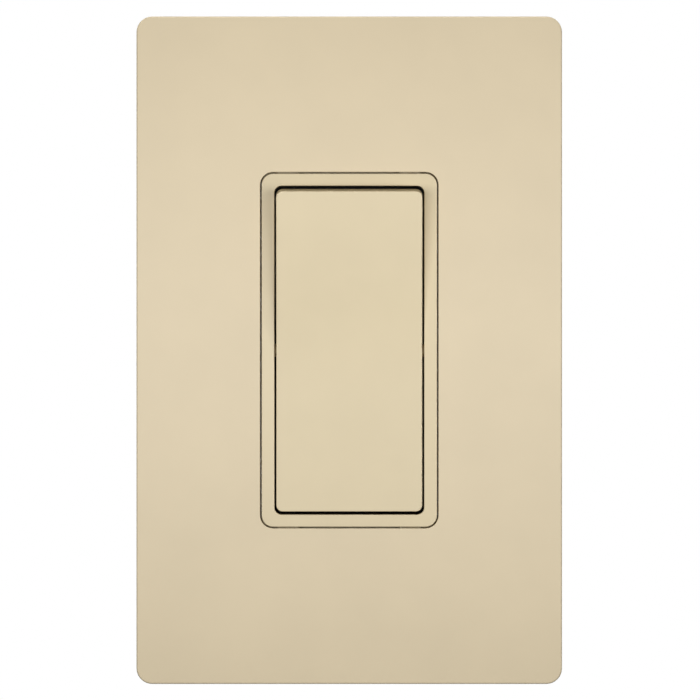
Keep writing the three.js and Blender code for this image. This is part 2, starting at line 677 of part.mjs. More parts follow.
for (const [name, end] of Object.entries(ends)) {
  const boxZ = (end * BOX_SCREW_SPACING) / 2;
  const plateZ = (end * PLATE_SCREW_SPACING) / 2;
  device.add(
    piece(`plate_screw_${name}`, panScrew(PLATE_SCREW, plateScrewSeat, plateZ), zinc),
    piece(`mounting_screw_${name}`, panScrew(BOX_SCREW, boxScrewSeat, boxZ), zinc),
    piece(`screw_retainer_${name}`, screwRetainer(boxZ), fibre),
  );
  for (const [side, x] of Object.entries({ right: ASSEMBLY_SCREW.x, left: -ASSEMBLY_SCREW.x })) {
    device.add(piece(`assembly_screw_${name}_${side}`, assemblyScrew(x, end * ASSEMBLY_SCREW.z), zinc));
  }
}

export default device;
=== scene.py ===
"""Looks of a single-pole decorator rocker switch in a screwless clip-on wall plate.

Everything is in the row frame, in metres: the wall is y = 0, the room is at -y, +X is right and +Z is up.
Sizes come from the boxes of the CAD nodes; edge roundings and mould details are named below.
"""

import json
import math

import bmesh
import bpy
from mathutils import Matrix, Vector


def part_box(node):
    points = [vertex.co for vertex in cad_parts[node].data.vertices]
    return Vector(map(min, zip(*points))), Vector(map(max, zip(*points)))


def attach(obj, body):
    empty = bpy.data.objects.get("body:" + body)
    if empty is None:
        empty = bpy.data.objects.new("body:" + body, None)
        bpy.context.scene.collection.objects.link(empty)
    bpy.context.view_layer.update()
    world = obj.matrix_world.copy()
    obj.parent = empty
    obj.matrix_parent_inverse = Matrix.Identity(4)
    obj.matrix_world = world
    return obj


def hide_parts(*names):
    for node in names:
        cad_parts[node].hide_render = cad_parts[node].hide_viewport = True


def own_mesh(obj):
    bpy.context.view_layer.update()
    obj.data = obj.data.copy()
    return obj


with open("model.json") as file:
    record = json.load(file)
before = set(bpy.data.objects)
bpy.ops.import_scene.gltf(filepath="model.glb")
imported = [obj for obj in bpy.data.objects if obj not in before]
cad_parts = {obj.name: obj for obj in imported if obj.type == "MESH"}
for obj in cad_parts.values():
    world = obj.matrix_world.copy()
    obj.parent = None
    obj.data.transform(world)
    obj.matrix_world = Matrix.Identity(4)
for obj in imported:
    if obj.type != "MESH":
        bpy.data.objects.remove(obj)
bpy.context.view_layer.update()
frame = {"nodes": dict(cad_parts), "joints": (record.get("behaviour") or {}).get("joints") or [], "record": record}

MM = 0.001
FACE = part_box("cover_plate")[0].y  # the front plane of the plate, the bezel and the rocker's lower half
JOINTS = {joint["name"]: joint for joint in frame["joints"]}
PIVOT = Vector(JOINTS["rocker_tilt"]["pos_m"])
THROW = math.radians(-JOINTS["rocker_tilt"]["range_deg"][0])
BOTH = (-1, 1)
CORNERS = [(side, end) for side in BOTH for end in BOTH]
CUT = 1 * MM  # how far a cutting tool runs past the surface it opens

# Edge roundings of the moulded parts.
PLATE_EDGE = 0.3 * MM
PLATE_WINDOW_EDGE = 0.08 * MM
BEZEL_EDGE = 0.12 * MM
PADDLE_EDGE = 0.18 * MM
SMALL_EDGE = 0.15 * MM

# Wall thicknesses and outline radii that the boxes don't tell.
PLATE_WALL = 1.8 * MM
PLATE_CORNER = 2.95 * MM
PLATE_GAP = 0.32 * MM
BEZEL_CORNER = 2.15 * MM
BEZEL_RAIL = Vector((2.375, 0, 2.275)) * MM  # width of a side rail and of an end rail
BEZEL_HEIGHT = 66.55 * MM
WINDOW_CORNER = 1.36 * MM
FLANGE_FRONT = -2.7 * MM
BOSS_FRONT = -4.2 * MM
PADDLE_WIDTH = 27.5 * MM
PADDLE_HALF = 30.4 * MM
PADDLE_SKIRT = 4.7 * MM
PADDLE_WALL = 1.6 * MM
PADDLE_CORNER = 1.2 * MM
PADDLE_BLEND = 8 * MM
PIN_RADIUS = 1.2 * MM
BOSS_RADIUS = 4.2 * MM
BOSS_BORE = 2.5 * MM
BOSS_END = 11.2 * MM
BOSS_SEAT = 1 * MM
BODY_WALL = 1.8 * MM
BODY_CORNER = 2 * MM
BODY_EDGE = 0.7 * MM
REBATE = Vector((1.2, 1.7, 1.2)) * MM
THREAD_RADIUS = 1.75 * MM  # of the 6-32 screws
THREAD_PITCH = 0.794 * MM  # 32 threads to the inch
THREAD_DEPTH = 0.42 * MM
THREAD_ROWS = 6  # rows of points per turn of thread
BOX_SCREW_Z = 41.67 * MM
PLATE_SCREW_Z = 48.42 * MM
CLAMP_X = 11.5 * MM  # the four screws that clamp the body, the strap and the bezel together
CLAMP_Z = 33.4 * MM
TERMINAL_Y = 10 * MM
TERMINAL_Z = 17.5 * MM
GROUND_Y = 7 * MM
GROUND_Z = -34.8 * MM
HOOK_Z = 17 * MM  # the snap hooks on the long sides, and the catches they click under
SINK = 0.4 * MM  # how far an added rib, hook or pin starts inside the wall it grows from


# ---- Materials ----


class Nodes:
    """A new material's node tree, with short ways to add and join its nodes."""

    def __init__(self, name):
        self.material = bpy.data.materials.new(name)
        self.material.use_nodes = True
        self.tree = self.material.node_tree
        self.shader = self.tree.nodes["Principled BSDF"]
        self.place = self.add("ShaderNodeTexCoord").outputs["Object"]

    def add(self, kind, **values):
        node = self.tree.nodes.new(kind)
        for name, value in values.items():
            node.inputs[name.replace("_", " ")].default_value = value
        return node

    def join(self, source, node, name):
        self.tree.links.new(source, node.inputs[name])

    def noise(self, size, detail=2.0, roughness=0.5, stretch=None):
        """Noise whose blobs are about size metres across, drawn out along the axes that stretch names."""
        node = self.add("ShaderNodeTexNoise", Scale=1 / size, Detail=detail, Roughness=roughness)
        if stretch:
            mapping = self.add("ShaderNodeMapping", Scale=stretch)
            self.join(self.place, mapping, "Vector")
            self.join(mapping.outputs["Vector"], node, "Vector")
        else:
            self.join(self.place, node, "Vector")
        return node.outputs["Fac"]

    def ramp(self, source, low, high):
        """Two colours, or two grey levels, mixed by a source that runs from about 0.3 to 0.7."""
        node = self.add("ShaderNodeValToRGB")
        first, last = node.color_ramp.elements
        first.position, last.position = 0.3, 0.7
        for element, value in ((first, low), (last, high)):
            element.color = (*value, 1) if hasattr(value, "__len__") else (value, value, value, 1)
        self.join(source, node, "Fac")
        return node.outputs["Color"]

    def bump(self, source, height, onto=None):
        node = self.add("ShaderNodeBump", Strength=1.0, Distance=height)
        self.join(source, node, "Height")
        if onto:
            self.join(onto, node, "Normal")
        return node.outputs["Normal"]


def moulded_plastic(name, color, roughness, grain, depth, shift=0.02, subsurface=0.0):
    """Plastic from a mould with an eroded satin grain: fine pits, slight waves and a breath of colour."""
    nodes = Nodes(name)
    shader = nodes.shader
    darker = [c * (1 - shift) for c in color]
    lighter = [c * (1 + shift) for c in color]
    nodes.join(nodes.ramp(nodes.noise(14 * MM, 3), darker, lighter), shader, "Base Color")
    satin = nodes.ramp(nodes.noise(grain * 2, 2), roughness - 0.04, roughness + 0.04)
    nodes.join(satin, shader, "Roughness")
    wave = nodes.bump(nodes.noise(6 * MM, 1), 0.012 * MM)
    nodes.join(nodes.bump(nodes.noise(grain, 3, 0.6), depth, wave), shader, "Normal")
    shader.inputs["IOR"].default_value = 1.49
    if subsurface:
        shader.inputs["Subsurface Weight"].default_value = subsurface
        shader.inputs["Subsurface Radius"].default_value = (1.0, 0.8, 0.5)
        shader.inputs["Subsurface Scale"].default_value = 0.5 * MM
    return nodes.material


def bare_metal(name, color, roughness, stretch=(1, 1, 1), streak=0.3 * MM, tint=0.12):
    """Rolled, drawn or plated metal: streaks along the way it was worked, and cloudy patches."""
    nodes = Nodes(name)
    shader = nodes.shader
    cloudy = nodes.ramp(nodes.noise(5 * MM, 4), [c * (1 - tint) for c in color], color)
    nodes.join(cloudy, shader, "Base Color")
    streaks = nodes.noise(streak, 4, 0.6, stretch)
    nodes.join(nodes.ramp(streaks, roughness - 0.08, roughness + 0.1), shader, "Roughness")
    nodes.join(nodes.bump(streaks, 0.004 * MM), shader, "Normal")
    shader.inputs["Metallic"].default_value = 1.0
    return nodes.material


def pressed_fibre(name, color):
    """Hard fibre board: matted strands in two browns."""
    nodes = Nodes(name)
    strands = nodes.noise(0.5 * MM, 6, 0.7, (1, 1, 0.25))
    nodes.join(nodes.ramp(strands, [c * 0.7 for c in color], color), nodes.shader, "Base Color")
    nodes.join(nodes.bump(strands, 0.05 * MM), nodes.shader, "Normal")
    nodes.shader.inputs["Roughness"].default_value = 0.9
    return nodes.material


def pale_floor(name):
    nodes = Nodes(name)
    nodes.join(nodes.ramp(nodes.noise(0.1, 2), 0.78, 0.82), nodes.shader, "Base Color")
    nodes.shader.inputs["Roughness"].default_value = 0.7
    return nodes.material


MATERIALS = {
    "wall_plate": moulded_plastic("wall_plate_ivory", (0.69, 0.576, 0.383), 0.46, 0.16 * MM, 0.006 * MM),
    "device_face": moulded_plastic("device_ivory", (0.7, 0.592, 0.389), 0.42, 0.12 * MM, 0.004 * MM),
    "sub_plate": moulded_plastic("sub_plate_ivory", (0.62, 0.52, 0.36), 0.5, 0.2 * MM, 0.006 * MM),
    "body_plastic": moulded_plastic("body_plastic", (0.028, 0.028, 0.03), 0.42, 0.18 * MM, 0.01 * MM, 0.15),
    "nylon": moulded_plastic("nylon", (0.72, 0.71, 0.66), 0.4, 0.3 * MM, 0.004 * MM),
    "zinc_steel": bare_metal("zinc_plated_steel", (0.62, 0.64, 0.66), 0.34, (1, 1, 0.08)),
    "spring_steel": bare_metal("spring_steel", (0.45, 0.45, 0.46), 0.28),
    "brass": bare_metal("stamped_brass", (0.78, 0.56, 0.22), 0.3, (1, 1, 0.1)),
    "brass_screw": bare_metal("brass_plate", (0.8, 0.6, 0.27), 0.26),
    "silver_alloy": bare_metal("silver_alloy", (0.82, 0.81, 0.78), 0.25),
    "green_screw": bare_metal("green_zinc", (0.03, 0.26, 0.09), 0.32),
    "fibre": pressed_fibre("pressed_fibre", (0.42, 0.29, 0.16)),
}
SLOT_OF = {part["node"]: part["material_slot"] for part in frame["record"]["subparts"]}


# ---- Mesh tools ----


def rounded_rectangle(half_x, half_z, radius, steps=8):
    """(x, z) points round a rectangle with round corners, anticlockwise as seen from the room."""
    points = []
    for quarter, (side, end) in enumerate(((1, -1), (1, 1), (-1, 1), (-1, -1))):
        for step in range(steps + 1):
            angle = (quarter - 1 + step / steps) * math.pi / 2
            x = side * (half_x - radius) + radius * math.cos(angle)
            z = end * (half_z - radius) + radius * math.sin(angle)
            points.append((x, z))
    return points


def rounded_polygon(corners, steps=5):
    """Outline through (x, z, radius) corners, each rounded with its own radius."""
    outline = []
    count = len(corners)
    for index, (x, z, radius) in enumerate(corners):
        here = Vector((x, z))
        if not radius:
            outline.append(here)
            continue
        back = (Vector(corners[index - 1][:2]) - here).normalized()
        ahead = (Vector(corners[(index + 1) % count][:2]) - here).normalized()
        half = back.angle(ahead) / 2
        centre = here + (back + ahead).normalized() * radius / math.sin(half)
        start = here + back * radius / math.tan(half) - centre
        sweep = math.copysign(math.pi - 2 * half, back.cross(start))
        for step in range(steps + 1):
            outline.append(centre + Matrix.Rotation(sweep * step / steps, 2) @ start)
    return [(point[0], point[1]) for point in outline]


def rounded_slot(x, z, half_x, half_z, radius, steps=5):
    """Outline of a rectangle with round corners whose middle is at (x, z)."""
    around = ((-1, -1), (1, -1), (1, 1), (-1, 1))
    return rounded_polygon([(x + side * half_x, z + end * half_z, radius) for side, end in around], steps)


def circle(radius, x=0.0, z=0.0, sides=32):
    turn = 2 * math.pi / sides
    return [(x + radius * math.cos(turn * i), z + radius * math.sin(turn * i)) for i in range(sides)]


def fillet(radius, steps=4):
    """(inset, drop) pairs from the side wall, round the edge, to the face."""
    angles = [math.pi / 2 * step / steps for step in range(steps + 1)]
    return [(radius * (1 - math.cos(angle)), radius * (1 - math.sin(angle))) for angle in angles]


def skin(rings, loop=False):
    """A closed mesh through rings of 3-D points of one length, capped at both ends or joined in a loop."""
    mesh = bmesh.new()
    rows = [[mesh.verts.new(point) for point in ring] for ring in rings]
    pairs = list(zip(rows, rows[1:]))
    if loop:
        pairs.append((rows[-1], rows[0]))
    else:
        mesh.faces.new(rows[0])
        mesh.faces.new(rows[-1])
    for row, following in pairs:
        for index in range(len(row)):
            after = (index + 1) % len(row)
            mesh.faces.new((row[index], row[after], following[after], following[index]))
    bmesh.ops.recalc_face_normals(mesh, faces=mesh.faces)
    return mesh


def frame_rings(profile):
    """Rings from (half_x, half_z, radius, y) rows."""
    return [
        [(x, y, z) for x, z in rounded_rectangle(half_x, half_z, max(radius, 0.05 * MM))]
        for half_x, half_z, radius, y in profile
    ]


def block(low, high, edge=0.0):
    """A box between two corners, with its edges chamfered round if edge is given."""
    mesh = bmesh.new()
    size = Vector(high) - Vector(low)
    place = Matrix.Translation((Vector(high) + Vector(low)) / 2) @ Matrix.Diagonal((*size, 1))
    bmesh.ops.create_cube(mesh, size=1, matrix=place)
    if edge:
        bmesh.ops.bevel(mesh, geom=mesh.edges[:], offset=edge, segments=2, affect="EDGES", profile=0.5)
    return mesh


AXIS_TURN = {"x": Matrix.Rotation(math.pi / 2, 4, "Y"), "y": Matrix.Rotation(-math.pi / 2, 4, "X")}
NEEDLE = 0.001 * MM  # radius of the ring that closes a turned solid on its axis


def turned_z(outline, sides):
    """A turned solid along +Z: (radius, along) rows from one end on the axis to the other."""
    rings = []
    for radius, along in outline:
        rings.append([(x, y, along) for x, y in circle(max(radius, NEEDLE), sides=sides)])
    return skin(rings)


def turned(outline, axis="y", centre=(0, 0, 0), sides=40):
    """The same along +X or +Y."""
    mesh = turned_z(outline, sides)
    mesh.transform(Matrix.Translation(centre) @ AXIS_TURN[axis])
    return mesh


def rod(radius, start, end, axis="y", centre=(0, 0, 0), edge=0.0, sides=32):
    if not edge:
        return turned([(radius, start), (radius, end)], axis, centre, sides)
    near = [(radius - inset, start + drop) for inset, drop in reversed(fillet(edge, 3))]
    far = [(radius - inset, end - drop) for inset, drop in fillet(edge, 3)]
    return turned(near + far, axis, centre, sides)


def together(meshes):
    """Several meshes as one."""
    whole = bmesh.new()
    for mesh in meshes:
        part = bpy.data.meshes.new("part")
        mesh.to_mesh(part)
        mesh.free()
        whole.from_mesh(part)
        bpy.data.meshes.remove(part)
    return whole


def bar(outline, middle, half_length, across):
    """A straight bar whose (outward, y) outline runs along z or, across z, along x."""
    rings = []
    for along in (middle - half_length, middle + half_length):
        if across == "x":
            rings.append([(out, y, along) for out, y in outline])
        else:
            rings.append([(along, y, out) for out, y in outline])
    return skin(rings)


def through_y(outline, span):
    """A prism through an (x, z) outline, along y from one end of the span to the other."""
    return skin([[(x, y, z) for x, z in outline] for y in span])


def thing(name, mesh):
    """An object in the scene that holds a bmesh."""
    data = bpy.data.meshes.new(name)
    mesh.to_mesh(data)
    mesh.free()
    made = bpy.data.objects.new(name, data)
    bpy.context.scene.collection.objects.link(made)
    return made


def settle(made):
    """Puts what an object's modifiers make in place of its mesh."""
    bpy.context.view_layer.update()
    evaluated = made.evaluated_get(bpy.context.evaluated_depsgraph_get())
    data = bpy.data.meshes.new_from_object(evaluated)
    made.modifiers.clear()
    old = made.data
    made.data = data
    bpy.data.meshes.remove(old)
    data.name = made.name


def boolean(made, mesh, operation):
    """Joins a bmesh to an object, or cuts it out."""
    tool = thing("tool", mesh)
    modifier = made.modifiers.new("boolean", "BOOLEAN")
    modifier.operation = operation
    modifier.solver = "EXACT"
    modifier.use_self = True
    modifier.object = tool
    settle(made)
    bpy.data.objects.remove(tool)


def taken(made):
    """The mesh of a helper object, which is removed."""
    mesh = bmesh.new()
    mesh.from_mesh(made.data)
    bpy.data.objects.remove(made)
    return mesh


def sheet(outlines, thickness, edge, front):
    """Flat strip or plate with rounded edges, from outlines in (x, z): the outside first, then its holes."""
    curve = bpy.data.curves.new("outline", "CURVE")
    curve.dimensions = "2D"
    curve.fill_mode = "BOTH"
    curve.extrude = thickness / 2 - edge
    curve.bevel_depth = edge
    curve.bevel_resolution = 1
    curve.offset = -edge
    for outline in outlines:
        spline = curve.splines.new("POLY")
        spline.points.add(len(outline) - 1)
        for point, (x, z) in zip(spline.points, outline):
            point.co = (x, z, 0, 1)
        spline.use_cyclic_u = True
    flat = bpy.data.objects.new("outline", curve)
    bpy.context.scene.collection.objects.link(flat)
    bpy.context.view_layer.update()
    evaluated = flat.evaluated_get(bpy.context.evaluated_depsgraph_get())
    data = bpy.data.meshes.new_from_object(evaluated)
    bpy.data.objects.remove(flat)
    mesh = bmesh.new()
    mesh.from_mesh(data)
    bpy.data.meshes.remove(data)
    bmesh.ops.remove_doubles(mesh, verts=mesh.verts, dist=0.001 * MM)
    mesh.transform(Matrix.Translation((0, front + thickness / 2, 0)) @ Matrix.Rotation(math.pi / 2, 4, "X"))
    bmesh.ops.recalc_face_normals(mesh, faces=mesh.faces)
    return mesh


def shade(made, edge=0.0, sharp=40):
    """Smooth shading that keeps flats flat, after rounding the edges that are still sharp."""
    made.data.shade_smooth()
    if edge:
        bevel = made.modifiers.new("edges", "BEVEL")
        bevel.width = edge
        bevel.segments = 2
        bevel.limit_method = "ANGLE"
        bevel.angle_limit = math.radians(sharp)
        bevel.use_clamp_overlap = True
        bevel.miter_outer = "MITER_ARC"
    made.data.set_sharp_from_angle(angle=math.radians(sharp))
    weighted = made.modifiers.new("flats", "WEIGHTED_NORMAL")
    weighted.keep_sharp = not edge
    weighted.weight = 100


def finished(made, node, body, edge=0.0, sharp=40):
    """Shades a piece, gives it the finish of the CAD node it stands for, and lets it ride on its body."""
    slot = SLOT_OF[node]
    made.data.materials.clear()
    made.data.materials.append(MATERIALS[slot])
    shade(made, edge, sharp)
    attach(made, body)
    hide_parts(node)
    return made


def half_size(node):
    low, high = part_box(node)
    return (high - low) / 2


# ---- Wall plate ----


def wall_plate():
    half = half_size("cover_plate")
    opening = Vector((half_size("bezel").x, 0, BEZEL_HEIGHT / 2)) + Vector((PLATE_GAP, 0, PLATE_GAP))
    opening_corner = BEZEL_CORNER + PLATE_GAP
    web = FACE + PLATE_WALL
    inner = Vector((half.x - PLATE_WALL, 0, half.z - PLATE_WALL))
    inner_corner = PLATE_CORNER - PLATE_WALL / 2
    profile = [(half.x, half.z, PLATE_CORNER, -SMALL_EDGE)]
    for inset, drop in fillet(PLATE_EDGE, 5):
        profile.append((half.x - inset, half.z - inset, PLATE_CORNER - inset, FACE + drop))
    for inset, drop in reversed(fillet(PLATE_WINDOW_EDGE)):
        profile.append((opening.x + inset, opening.z + inset, opening_corner + inset, FACE + drop))
    profile.append((opening.x, opening.z, opening_corner, web - SMALL_EDGE))
    profile.append((opening.x + SMALL_EDGE, opening.z + SMALL_EDGE, opening_corner + SMALL_EDGE, web))
    for inset, drop in reversed(fillet(0.6 * MM)):
        profile.append((inner.x - inset, inner.z - inset, inner_corner, web + drop))
    profile.append((inner.x, inner.z, inner_corner, -SMALL_EDGE))
    profile.append((inner.x + SMALL_EDGE, inner.z + SMALL_EDGE, inner_corner + SMALL_EDGE, 0))
    profile.append((half.x - SMALL_EDGE, half.z - SMALL_EDGE, PLATE_CORNER - SMALL_EDGE, 0))
    made = thing("wall_plate_shell", skin(frame_rings(profile), loop=True))
    boolean(made, together(plate_hooks(inner) + plate_ribs(inner, web)), "UNION")
    boolean(made, together(ejector_marks(web)), "DIFFERENCE")
    return finished(made, "cover_plate", "wall_plate")


def ejector_marks(web):
    """Four shallow discs pressed into the back of the face by the mould's pins."""
    radius, depth, x, z = 1.6 * MM, 0.08 * MM, 21 * MM, 45 * MM
    return [rod(radius, web - depth, 0, centre=(side * x, 0, end * z)) for side, end in CORNERS]


def plate_hooks(inner):
    """Snap hooks inside the rim: four on the long sides and one on each end, each a wedge that leads in."""
    hooks = []
    for side, end in CORNERS:
        hooks.append(hook(side, inner.x, end * HOOK_Z, "x"))
    for end in BOTH:
        hooks.append(hook(end, inner.z, 0, "z"))
    return hooks


def hook(side, wall, middle, across):
    """A snap wedge whose flat side is at the front and whose slope faces the wall."""
    reach, half_length = 1.15 * MM, 4 * MM
    front, back, flat = -1.6 * MM, -0.55 * MM, 0.35 * MM
    root, tip, sunk = side * wall, side * (wall - reach), side * (wall + SINK)
    outline = [(sunk, front), (tip, front), (tip, front + flat), (root, back), (sunk, back)]
    return bar(outline, middle, half_length, across)


def plate_ribs(inner, web):
    """Stiffening ribs behind the face: two along the plate and two across, in one grid that meets the rim."""
    half, depth = 0.5 * MM, 0.85 * MM
    sunk = 0.3 * MM
    ribs = []
    for side in BOTH:
        x, z = side * 27 * MM, side * 55.5 * MM
        ribs.append(block((x - half, web - sunk, -inner.z - sunk), (x + half, web + depth, inner.z + sunk)))
        ribs.append(block((-inner.x - sunk, web - sunk, z - half), (inner.x + sunk, web + depth, z + half)))
    return ribs


def sub_plate():
    low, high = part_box("sub_plate")
    outer = Vector((36 * MM, 0, 58.8 * MM))
    made = thing("sub_plate_moulding", skin(frame_rings(sub_plate_profile(outer, low.y)), loop=True))
    catches = []
    for side, end in CORNERS:
        catches.append(catch(side, outer.x, high.x, end * HOOK_Z, "x"))
    for end in BOTH:
        catches.append(catch(end, outer.z, high.z, 0, "z"))
    boolean(made, together(catches), "UNION")
    boolean(made, together(sub_plate_cuts((low.y - 2 * CUT, CUT))), "DIFFERENCE")
    return finished(made, "sub_plate", "device")


def sub_plate_profile(outer, front):
    """The web with its rim outside and a low curb round its window, as rows for frame_rings."""
    window = Vector((18 * MM, 0, 36.5 * MM))
    rim, corner, web_back = 1.5 * MM, 2 * MM, -1.5 * MM
    curb, curb_height, curb_slope = 1.2 * MM, 0.6 * MM, 0.25 * MM
    profile = [(outer.x, outer.z, corner, -SMALL_EDGE)]
    for inset, drop in fillet(PLATE_EDGE, 3):
        profile.append((outer.x - inset, outer.z - inset, corner - inset, front + drop))
    for inset, drop in ((curb_slope, 0), (0, -curb_height + SMALL_EDGE), (-SMALL_EDGE, -curb_height)):
        out = curb + inset
        profile.append((window.x + out, window.z + out, corner + out, front + drop))
    profile.append((window.x + SMALL_EDGE, window.z + SMALL_EDGE, corner, front - curb_height))
    profile.append((window.x, window.z, corner, front - curb_height + SMALL_EDGE))
    profile.append((window.x, window.z, corner, web_back - SMALL_EDGE))
    profile.append((window.x + SMALL_EDGE, window.z + SMALL_EDGE, corner, web_back))
    inner = Vector((outer.x - rim, 0, outer.z - rim))
    for inset, drop in reversed(fillet(0.4 * MM, 3)):
        profile.append((inner.x - inset, inner.z - inset, corner / 2, web_back + drop))
    profile.append((inner.x, inner.z, corner / 2, -SMALL_EDGE))
    profile.append((inner.x + SMALL_EDGE, inner.z + SMALL_EDGE, corner / 2, 0))
    profile.append((outer.x - SMALL_EDGE, outer.z - SMALL_EDGE, corner, 0))
    return profile


def sub_plate_cuts(span):
    """Screw holes, notches over the heads of the box screws, and two slots at each end."""
    notch_x, notch_root, notch_round = 3.6 * MM, 30 * MM, 3.5 * MM
    slot_x, slot_z, half_x, half_z, slot_round = 12 * MM, 46 * MM, 4 * MM, 1.6 * MM, 1.5 * MM
    cuts = []
    for end in BOTH:
        cuts.append(rod(2 * MM, *span, centre=(0, 0, end * PLATE_SCREW_Z)))
        notch_end = end * (BOX_SCREW_Z + notch_x)
        notch = [
            (-notch_x, end * notch_root, 0),
            (notch_x, end * notch_root, 0),
            (notch_x, notch_end, notch_round),
            (-notch_x, notch_end, notch_round),
        ]
        cuts.append(through_y(rounded_polygon(notch, 8), span))
        for side in BOTH:
            slot = rounded_slot(side * slot_x, end * slot_z, half_x, half_z, slot_round)
            cuts.append(through_y(slot, span))
    return cuts


def catch(side, wall, tip, middle, across):
    """A ledge on the sub-plate's rim that a hook of the wall plate clicks under."""
    front, shoulder, back, half_length = -2.9 * MM, -2.3 * MM, -2 * MM, 5 * MM
    root, sunk = side * wall, side * (wall - SINK)
    outline = [(sunk, front), (root, front), (side * tip, shoulder), (side * tip, back), (sunk, back)]
    return bar(outline, middle, half_length, across)


# ---- Bezel ----


def bezel():
    half_x = half_size("bezel").x
    half_z = BEZEL_HEIGHT / 2
    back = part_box("bezel")[1].y
    flange_z = half_size("bezel").z
    window = Vector((half_x - BEZEL_RAIL.x, 0, half_z - BEZEL_RAIL.z))
    profile = []
    for inset, drop in fillet(BEZEL_EDGE):
        profile.append((half_x - inset, half_z - inset, BEZEL_CORNER - inset, FACE + drop))
    for inset, drop in reversed(fillet(BEZEL_EDGE)):
        profile.append((window.x + inset, window.z + inset, WINDOW_CORNER + inset, FACE + drop))
    profile.append((window.x, window.z, WINDOW_CORNER, back))
    profile.append((half_x, flange_z, BEZEL_CORNER, back))
    profile.append((half_x, flange_z, BEZEL_CORNER, FLANGE_FRONT + SMALL_EDGE))
    profile.append((half_x, flange_z - SMALL_EDGE, BEZEL_CORNER, FLANGE_FRONT))
    profile.append((half_x, half_z, BEZEL_CORNER, FLANGE_FRONT))
    made = thing("bezel_frame", skin(frame_rings(profile), loop=True))
    boss_radius, screw_hole, hole_end = 2.1 * MM, 1.1 * MM, -3.9 * MM
    clearance, socket_end = 0.2 * MM, 15.5 * MM
    bosses = []
    cuts = [rod(PIN_RADIUS + clearance, -socket_end, socket_end, "x", PIVOT)]
    for side, end in CORNERS:
        place = (side * CLAMP_X, 0, end * CLAMP_Z)
        bosses.append(rod(boss_radius, BOSS_FRONT, back - SINK, centre=place, edge=0.2 * MM))
        cuts.append(rod(screw_hole, hole_end, CUT, centre=place))
    boolean(made, together(bosses), "UNION")
    boolean(made, together(cuts), "DIFFERENCE")
    return finished(made, "bezel", "device")


# ---- Rocker ----

HALF_THROW = THROW / 2
TO_FACE = PIVOT.y - FACE  # from the pivot to either half of the rocker's face
BLEND_RADIUS = PADDLE_BLEND / math.sin(HALF_THROW)
BLEND_CENTRE = -(TO_FACE + BLEND_RADIUS) / math.cos(HALF_THROW)
BLEND_LENGTH = BLEND_RADIUS * HALF_THROW
STRAIGHT = PADDLE_HALF - (TO_FACE + BLEND_RADIUS) * math.tan(HALF_THROW)
ROCKER_PLACE = Matrix.Translation(PIVOT) @ Matrix.Rotation(HALF_THROW, 4, "X")


def bend(point):
    """From (x, depth behind the face, way along it) on the rocker laid flat to its bent shape."""
    x, depth, along = point
    arc = max(-BLEND_LENGTH, min(BLEND_LENGTH, along))
    angle = arc / BLEND_RADIUS
    beyond = along - arc
    y = BLEND_CENTRE + (BLEND_RADIUS + depth) * math.cos(angle) - beyond * math.sin(angle)
    z = (BLEND_RADIUS + depth) * math.sin(angle) + beyond * math.cos(angle)
    return Vector((x, y, z))


def paddle():
    half_x, half_z = PADDLE_WIDTH / 2, BLEND_LENGTH + STRAIGHT
    profile = []
    for inset, drop in reversed(fillet(PADDLE_EDGE, 6)):
        profile.append((half_x - inset, half_z - inset, PADDLE_CORNER - inset, drop))
    profile.append((half_x, half_z, PADDLE_CORNER, PADDLE_SKIRT - SMALL_EDGE))
    profile.append((half_x - SMALL_EDGE, half_z - SMALL_EDGE, PADDLE_CORNER, PADDLE_SKIRT))
    inner_x, inner_z = half_x - PADDLE_WALL, half_z - PADDLE_WALL
    profile.append((inner_x + SMALL_EDGE, inner_z + SMALL_EDGE, 0.6 * MM, PADDLE_SKIRT))
    profile.append((inner_x, inner_z, 0.6 * MM, PADDLE_SKIRT - SMALL_EDGE))
    for inset, drop in fillet(0.4 * MM, 3):
        profile.append((inner_x - inset, inner_z - inset, 0.6 * MM - inset, PADDLE_WALL + drop))
    mesh = skin(frame_rings(profile))
    cuts = 20
    for step in range(cuts + 1):
        along = BLEND_LENGTH * (2 * step / cuts - 1)
        geometry = mesh.verts[:] + mesh.edges[:] + mesh.faces[:]
        bmesh.ops.bisect_plane(mesh, geom=geometry, plane_co=(0, 0, along), plane_no=(0, 0, 1))
    for vertex in mesh.verts:
        vertex.co = bend(vertex.co)
    made = thing("rocker_paddle", mesh)
    pin_root, pin_end = half_x - 1 * MM, 15.2 * MM
    pins = [rod(PIN_RADIUS, side * pin_root, side * pin_end, "x") for side in BOTH]
    boolean(made, together(pins + paddle_ribs(inner_x)), "UNION")
    inside = PADDLE_WALL - TO_FACE
    boolean(made, rod(BOSS_RADIUS, inside - 0.3 * MM, BOSS_END, edge=0.25 * MM, sides=48), "UNION")
    boolean(made, rod(BOSS_BORE, BOSS_SEAT, BOSS_END + CUT, sides=48), "DIFFERENCE")
    made.data.transform(ROCKER_PLACE)
    return finished(made, "paddle", "rocker")


def paddle_ribs(inner_x):
    """Ribs across the inside of the rocker, and a cross of gussets that stiffens its boss."""
    inside = PADDLE_WALL - TO_FACE
    half, rib_depth, reach, gusset_depth = 0.5 * MM, 1.4 * MM, 8 * MM, 4.5 * MM
    ribs = []
    for row in (-2, -1, 1, 2):
        z = row * 10 * MM
        floor_y = inside - abs(z) * math.sin(HALF_THROW)
        low = (-inner_x - SINK, floor_y - SINK, z - half)
        ribs.append(block(low, (inner_x + SINK, floor_y + rib_depth, z + half)))
    for half_x, half_z in ((reach, half), (half, reach)):
        low = (-half_x, inside - 0.3 * MM, -half_z)
        ribs.append(block(low, (half_x, inside + gusset_depth, half_z)))
    return ribs


